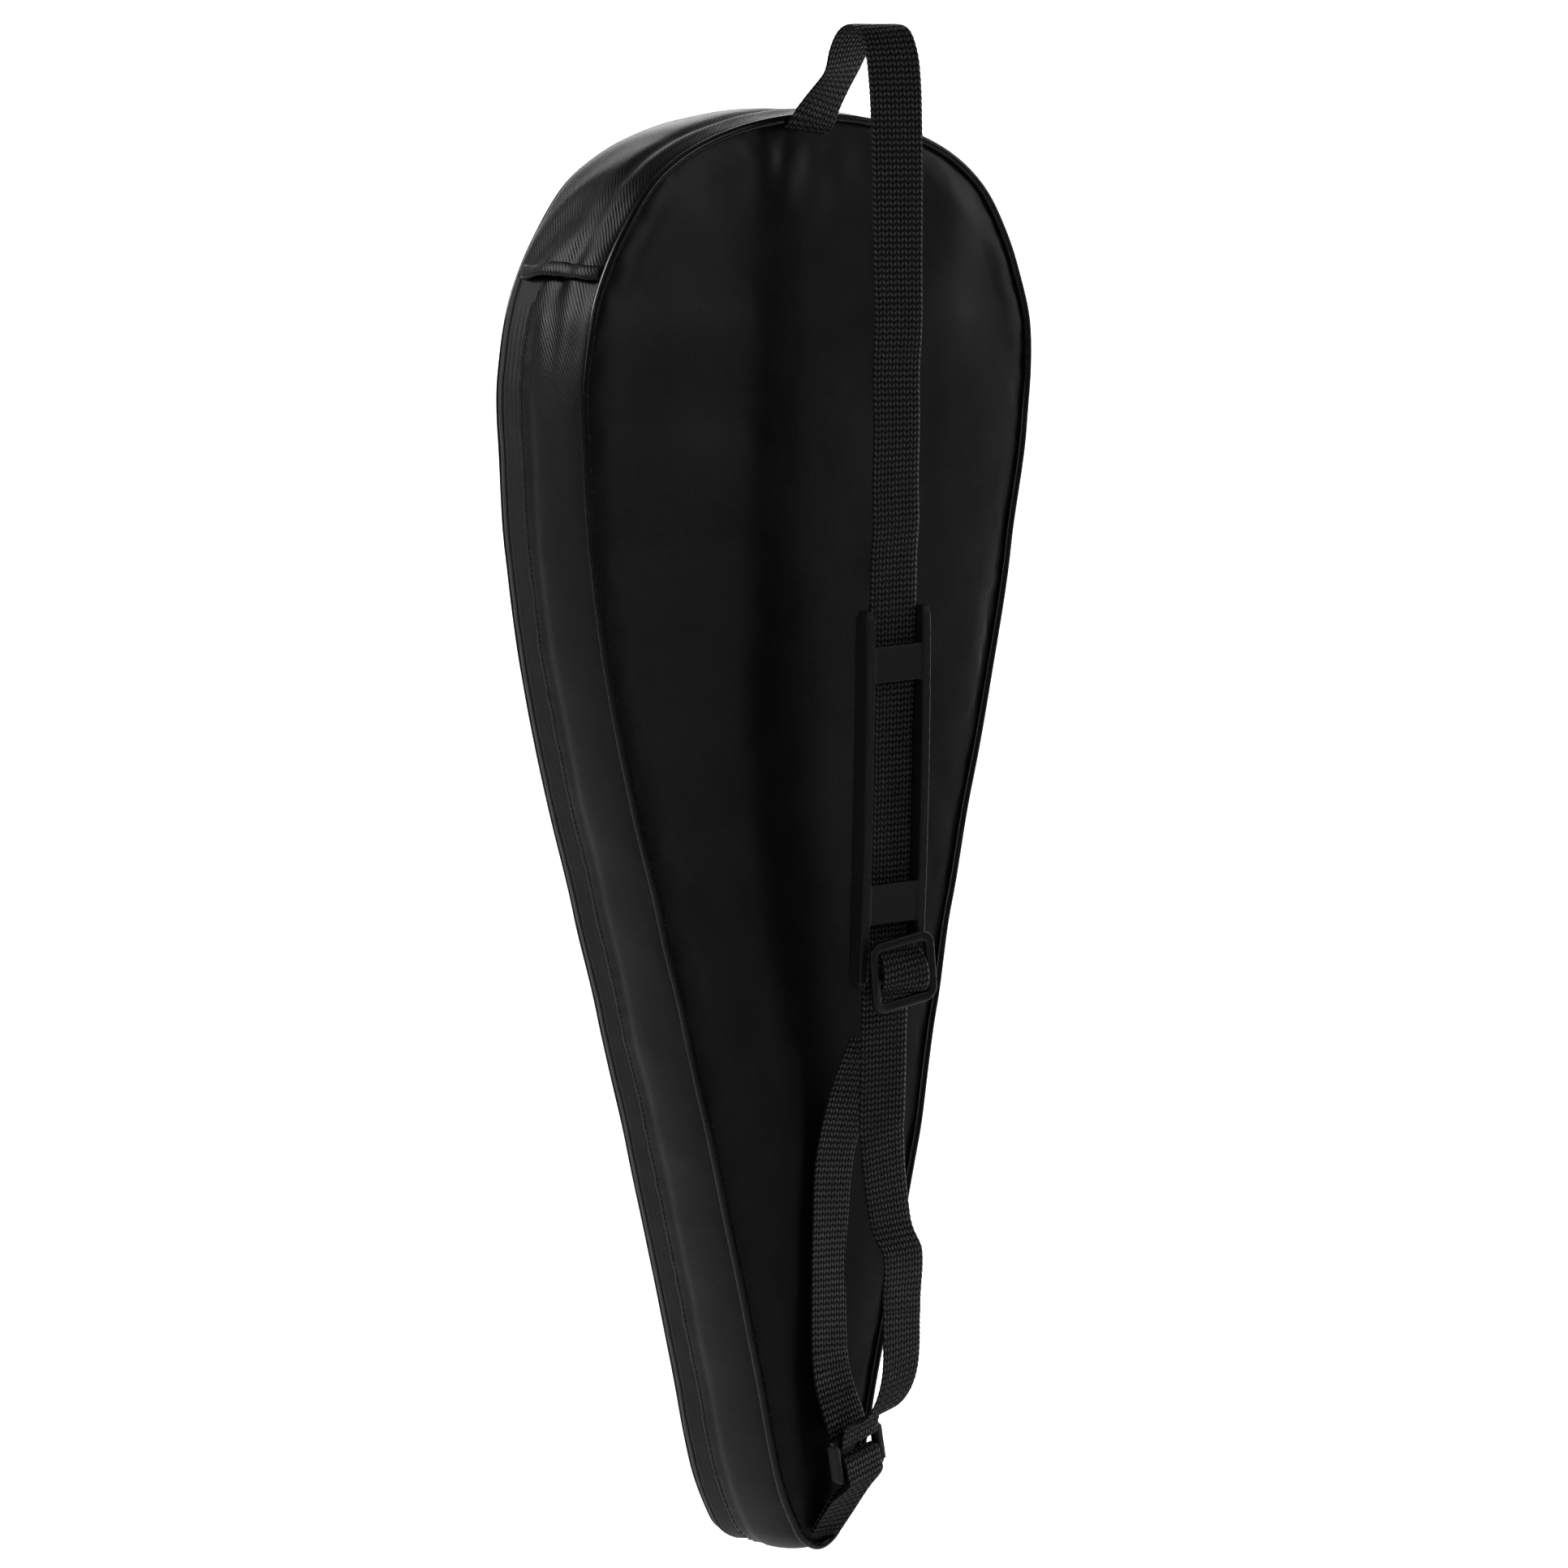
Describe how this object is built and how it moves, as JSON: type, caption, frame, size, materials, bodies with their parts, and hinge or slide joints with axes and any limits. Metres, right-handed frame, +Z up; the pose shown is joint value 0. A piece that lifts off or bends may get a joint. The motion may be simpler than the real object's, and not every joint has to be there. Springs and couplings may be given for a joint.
{
  "type": "racket case",
  "caption": "Full-length padded teardrop racket cover with a zipped front flap, side band, piping and a webbing carrying strap with shoulder piece.",
  "frame": {"origin": "underside of the strap's arch, at the middle of the webbing, where the case hangs from a peg or hand", "axes": "+Z up the case from the tip to the hanging arch; -Y is the side of the rear panel and the carrying strap; +Y is the front panel; X is across the case"},
  "size_m": [0.2932, 0.1345, 0.7652],
  "materials": {
    "shell_fabric": "matte coated polyester twill",
    "band_fabric": "satin polyester twill",
    "foam": "closed-cell foam",
    "lining": "thin woven lining",
    "piping": "smooth satin vinyl",
    "binding": "narrow woven tape",
    "zip_tape": "herringbone tape",
    "zip_coil": "nylon coil",
    "zip_metal": "black enamel",
    "webbing": "coarse polypropylene webbing",
    "stitching": "dense lock stitching",
    "hard_plastic": "moulded, fine grain",
    "pad_plastic": "soft moulded vinyl, fine grain"
  },
  "bodies": {
    "case": {"rear_panel": "shell_fabric", "rear_foam": "foam", "rear_lining": "lining", "front_panel": "shell_fabric", "front_foam": "foam", "front_lining": "lining", "zip_band": "band_fabric", "zip_band_foam": "foam", "top_band": "band_fabric", "top_band_foam": "foam", "rear_piping": "piping", "front_piping": "piping", "rear_seam_binding": "binding", "front_seam_binding": "binding", "zip_tape_rear": "zip_tape", "zip_tape_front_end": "zip_tape", "zip_coil_rear": "zip_coil", "zip_coil_front_end": "zip_coil", "zip_end_stops": "zip_metal", "band_seam_left": "band_fabric", "band_seam_right": "band_fabric", "strap_anchor_tack": "stitching", "strap_webbing": "webbing", "strap_lower_loop": "webbing", "strap_return_run": "webbing", "ring_tab": "webbing", "ring_tab_tack": "stitching"},
    "flap": {"front_flap": "shell_fabric", "front_flap_foam": "foam", "front_flap_lining": "lining", "front_flap_piping": "piping", "front_flap_binding": "binding", "zip_tape_front": "zip_tape", "zip_coil_front": "zip_coil"},
    "slider": {"zip_slider": "zip_metal"},
    "pull": {"zip_pull": "zip_metal"},
    "pad": {"shoulder_pad": "pad_plastic"},
    "adjuster": {"strap_adjuster": "hard_plastic", "adjuster_webbing_end": "webbing"},
    "ring": {"bottom_ring": "hard_plastic"}
  },
  "joints": [
    {"name": "flap_open", "type": "hinge", "parent": "case", "child": "flap", "pos_m": [-0.0485, 0.115, -0.3945], "axis": [0.3104, 0, -0.9506], "range_deg": [0, 60]},
    {"name": "zip_slide", "type": "slide", "parent": "case", "child": "slider", "axis": [-0.2381, 0, -0.9713], "range_m": [0, 0.065]},
    {"name": "pull_swing", "type": "hinge", "parent": "slider", "child": "pull", "pos_m": [0.06092, 0.104, -0.59102], "axis": [0, 1, 0], "range_deg": [-150, 8]},
    {"name": "pad_slide", "type": "slide", "parent": "case", "child": "pad", "axis": [-0.0521, -0.0924, 0.9944], "range_m": [0, 0.08]},
    {"name": "adjuster_slide", "type": "slide", "parent": "case", "child": "adjuster", "axis": [0.0521, 0.0924, -0.9944], "range_m": [0, 0.045], "deforming": ["strap_return_run"]},
    {"name": "ring_swing", "type": "hinge", "parent": "case", "child": "ring", "pos_m": [0.01418, 0.02739, -0.72301], "axis": [0.9531, 0.2026, 0.225], "range_deg": [-15, 15], "deforming": ["strap_lower_loop"]}
  ]
}
